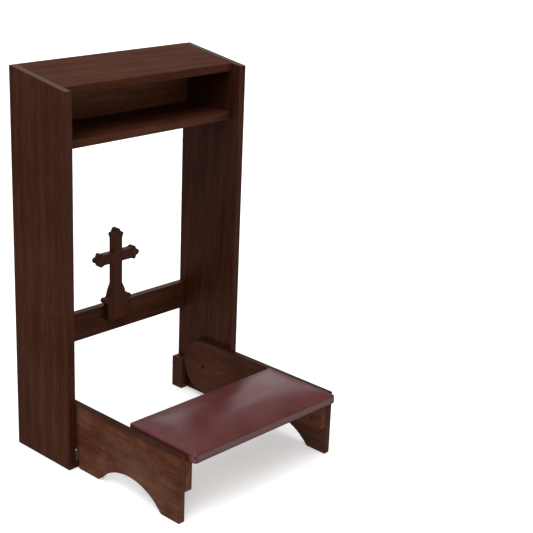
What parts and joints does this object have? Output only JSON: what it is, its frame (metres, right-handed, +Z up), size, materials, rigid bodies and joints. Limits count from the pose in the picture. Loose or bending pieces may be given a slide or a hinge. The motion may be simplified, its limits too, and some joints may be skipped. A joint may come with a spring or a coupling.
{
  "type": "folding kneeling bench",
  "caption": "Upright wooden prayer kneeler: two side panels, sloping desk top, book shelf, cross on a low rail, and a padded kneeler that folds up inside the frame.",
  "frame": {"origin": "on the floor, at the middle of the open bench's length and width", "axes": "+Z up, -Y towards the front of the open kneeler, +X to the right of someone looking along +Y at the desk"},
  "size_m": [0.513, 0.5354, 0.8648],
  "materials": {
    "frame_wood": "dark walnut stain, satin lacquer, fine straight grain",
    "kneeler_wood": "dark walnut stain, satin lacquer, fine straight grain",
    "bare_wood": "unfinished dowels and plywood",
    "vinyl": "burgundy upholstery vinyl, soft sheen, fine grain",
    "foam": "upholstery foam",
    "dark_screw": "blackened steel",
    "zinc_steel": "zinc plated steel",
    "brass": "plain brass"
  },
  "bodies": {
    "frame": {"left_side_panel": "frame_wood", "right_side_panel": "frame_wood", "top_board": "frame_wood", "shelf_board": "frame_wood", "back_apron": "frame_wood", "cross_rail": "frame_wood", "bottom_bar": "frame_wood", "cross": "frame_wood", "left_heel_block": "frame_wood", "right_heel_block": "frame_wood", "top_board_dowel_1": "bare_wood", "top_board_dowel_2": "bare_wood", "top_board_dowel_3": "bare_wood", "top_board_dowel_4": "bare_wood", "shelf_board_dowel_1": "bare_wood", "shelf_board_dowel_2": "bare_wood", "shelf_board_dowel_3": "bare_wood", "shelf_board_dowel_4": "bare_wood", "back_apron_dowel_1": "bare_wood", "back_apron_dowel_2": "bare_wood", "cross_rail_dowel_1": "bare_wood", "cross_rail_dowel_2": "bare_wood", "cross_rail_dowel_3": "bare_wood", "cross_rail_dowel_4": "bare_wood", "bottom_bar_dowel_1": "bare_wood", "bottom_bar_dowel_2": "bare_wood", "cross_dowel_1": "bare_wood", "cross_dowel_2": "bare_wood", "left_heel_block_dowel_1": "bare_wood", "left_heel_block_dowel_2": "bare_wood", "right_heel_block_dowel_1": "bare_wood", "right_heel_block_dowel_2": "bare_wood", "left_pivot_screw": "dark_screw", "left_pivot_insert": "brass", "left_pivot_spacer": "zinc_steel", "right_pivot_screw": "dark_screw", "right_pivot_insert": "brass", "right_pivot_spacer": "zinc_steel"},
    "kneeler": {"left_arm": "kneeler_wood", "right_arm": "kneeler_wood", "left_cleat": "kneeler_wood", "right_cleat": "kneeler_wood", "left_cleat_screw_1": "dark_screw", "left_cleat_screw_2": "dark_screw", "left_cleat_screw_3": "dark_screw", "right_cleat_screw_1": "dark_screw", "right_cleat_screw_2": "dark_screw", "right_cleat_screw_3": "dark_screw", "left_pivot_sleeve": "brass", "right_pivot_sleeve": "brass", "pad_board": "bare_wood", "pad_foam": "foam", "pad_cover": "vinyl", "left_pad_screw_1": "zinc_steel", "left_pad_screw_2": "zinc_steel", "right_pad_screw_1": "zinc_steel", "right_pad_screw_2": "zinc_steel"}
  },
  "joints": [
    {"name": "kneeler_fold", "type": "hinge", "parent": "frame", "child": "kneeler", "pos_m": [0, 0.15775, 0.084], "axis": [-1, 0, 0], "range_deg": [0, 86]}
  ]
}
